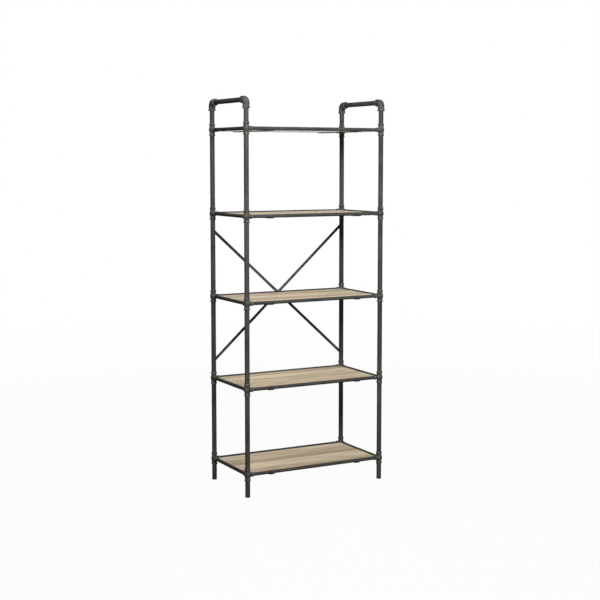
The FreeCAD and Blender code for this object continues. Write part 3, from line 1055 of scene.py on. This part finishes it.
def make_straps(finish):
    """Flat straps under each board from front rail to rear rail, with softened edges."""
    side = strap_half_width - strap_corner
    reach = post_y + strap_overhang - strap_corner
    centres = [(side, -reach), (side, reach), (-side, reach), (-side, -reach)]
    outline = []
    for quarter, centre in enumerate(centres):
        outline += arc(centre, strap_corner, 90 * (quarter - 1), 90 * quarter)
    count = len(outline)
    points = [(x, y, z) for z in (-strap_thickness, 0) for x, y in outline]
    faces = [tuple(range(count))[::-1], tuple(range(count, 2 * count))]
    faces += [(here, (here + 1) % count, count + (here + 1) % count, count + here) for here in range(count)]
    strap = new_piece("strap_pattern", points, faces)
    edge = strap.modifiers.new("edge", "BEVEL")
    edge.width = strap_edge
    edge.segments = strap_edge_segments
    strap = settled(strap)
    places = []
    for height in rail_heights.values():
        under = height - rail_radius
        places += [((side_x * post_x * strap_place_share, 0, under), UPRIGHT) for side_x in (-1, 1)]
    copied("board_straps_flat", strap, places, finish, "steel_tube", "board_straps")
    bpy.data.objects.remove(strap)


def make_all():
    """Every piece of the bookcase."""
    tube = tube_finish()
    cast = cast_finish()
    bar = bar_finish()
    oak = oak_finish()
    zinc = zinc_finish()
    make_tubes(tube)
    make_castings(cast)
    make_brace(bar)
    make_straps(bar)
    make_bolts(bolt_finish())
    make_screws(zinc)
    make_glides(glide_finish())
    for shelf in SHELVES:
        dress(f"shelf_board_{shelf}", oak)
    for node in ("joining_studs", "brace_rivet_nuts"):
        dress(node, zinc)


make_all()


# Room, light and camera
room_light = 0.03
floor_half_size = 30.0
floor_fade_start = 1.5
floor_fade_end = 6.0
floor_shown_light = 0.97
floor_paper = paint(120, 120, 118)


def ray_seen(graph):
    """1 for the rays that show the room: to the camera, in gloss and through glass."""
    kinds = ("Is Camera Ray", "Is Glossy Ray", "Is Transmission Ray")
    camera, glossy, through = [graph.node("ShaderNodeLightPath", output=kind) for kind in kinds]
    return camera.maximum(glossy).maximum(through)


def make_room():
    """A white room that lights the bookcase softly, and a pale floor that keeps its shadow."""
    world = bpy.data.worlds.new("white_room")
    world.use_nodes = True
    bpy.context.scene.world = world
    graph = Graph(world.node_tree)
    graph.tree.nodes.clear()
    seen = ray_seen(graph)
    strength = room_light + seen * (1 - room_light)
    light = graph.node("ShaderNodeBackground", inputs={"Color": WHITE, "Strength": strength})
    end = graph.tree.nodes.new("ShaderNodeOutputWorld")
    graph.tree.links.new(light.socket, end.inputs["Surface"])

    finish = Finish("pale_floor")
    x, y, z = finish.axes()
    distance = (x * x + y * y).root()
    glow = floor_shown_light + (1 - floor_shown_light) * distance.smooth(floor_fade_start, floor_fade_end)
    paper = finish.node("ShaderNodeBsdfDiffuse", inputs={"Color": floor_paper})
    shown = finish.node("ShaderNodeEmission", inputs={"Color": WHITE, "Strength": 1.0})
    mixed = finish.node("ShaderNodeMixShader", inputs={0: ray_seen(finish) * glow, 1: paper, 2: shown})
    finish.node_out("ShaderNodeOutputMaterial", mixed)
    half = floor_half_size
    corners = [(side_x * half, side_y * half, 0) for side_x, side_y in CORNERS.values()]
    floor = new_piece("floor", corners, [(0, 1, 2, 3)])
    floor.data.materials.append(finish.material)


def aim(thing, place, target):
    """Put a lamp or camera at a place, looking at a target."""
    thing.location = place
    thing.rotation_euler = (Vector(target) - Vector(place)).to_track_quat("-Z", "Y").to_euler()


def make_lamp(name, place, target, width, height, watts):
    """One soft box, pointed at its target."""
    lamp = bpy.data.lights.new(name, "AREA")
    lamp.shape = "RECTANGLE"
    lamp.size = width
    lamp.size_y = height
    lamp.energy = watts
    thing = bpy.data.objects.new(name, lamp)
    bpy.context.scene.collection.objects.link(thing)
    aim(thing, place, target)


# Soft boxes high in front and behind, one on each side level with the top, and a large one overhead:
# the place, what it points at, width, height and watts
LAMPS = {
    "front": ((-0.55, -2.1, 2.1), (0, 0, 0.8), 1.0, 0.8, 86),
    "right": ((1.5, -0.9, 1.8), (0, 0, 1.4), 0.6, 0.6, 3),
    "left": ((-1.2, -0.4, 1.8), (0, 0, 1.4), 0.5, 0.5, 3),
    "rear": ((-0.8, 2.0, 2.6), (0, 0, 0.8), 1.0, 0.8, 26),
    "overhead": ((0, -0.3, 3.4), (0, 0, 0.5), 2.4, 2.0, 24),
}


# Camera, from where the photograph was taken
eye = (-2.432, -4.515, 1.350)
look_right = math.radians(28.463)
look_down = math.radians(5.668)
lens_length = 73.85
sensor_width = 36.0
view_shift = -0.03


def make_camera():
    """In front and to the left, above the middle of the bookcase, looking slightly down."""
    camera = bpy.data.cameras.new("camera")
    camera.lens = lens_length
    camera.sensor_width = sensor_width
    camera.shift_y = view_shift
    thing = bpy.data.objects.new("camera", camera)
    bpy.context.scene.collection.objects.link(thing)
    level = math.cos(look_down)
    ahead = Vector((math.sin(look_right) * level, math.cos(look_right) * level, -math.sin(look_down)))
    aim(thing, eye, Vector(eye) + ahead)
    bpy.context.scene.camera = thing


make_room()
for lamp_name, lamp_values in LAMPS.items():
    make_lamp(lamp_name, *lamp_values)
make_camera()
bpy.context.scene.view_settings.view_transform = "Standard"
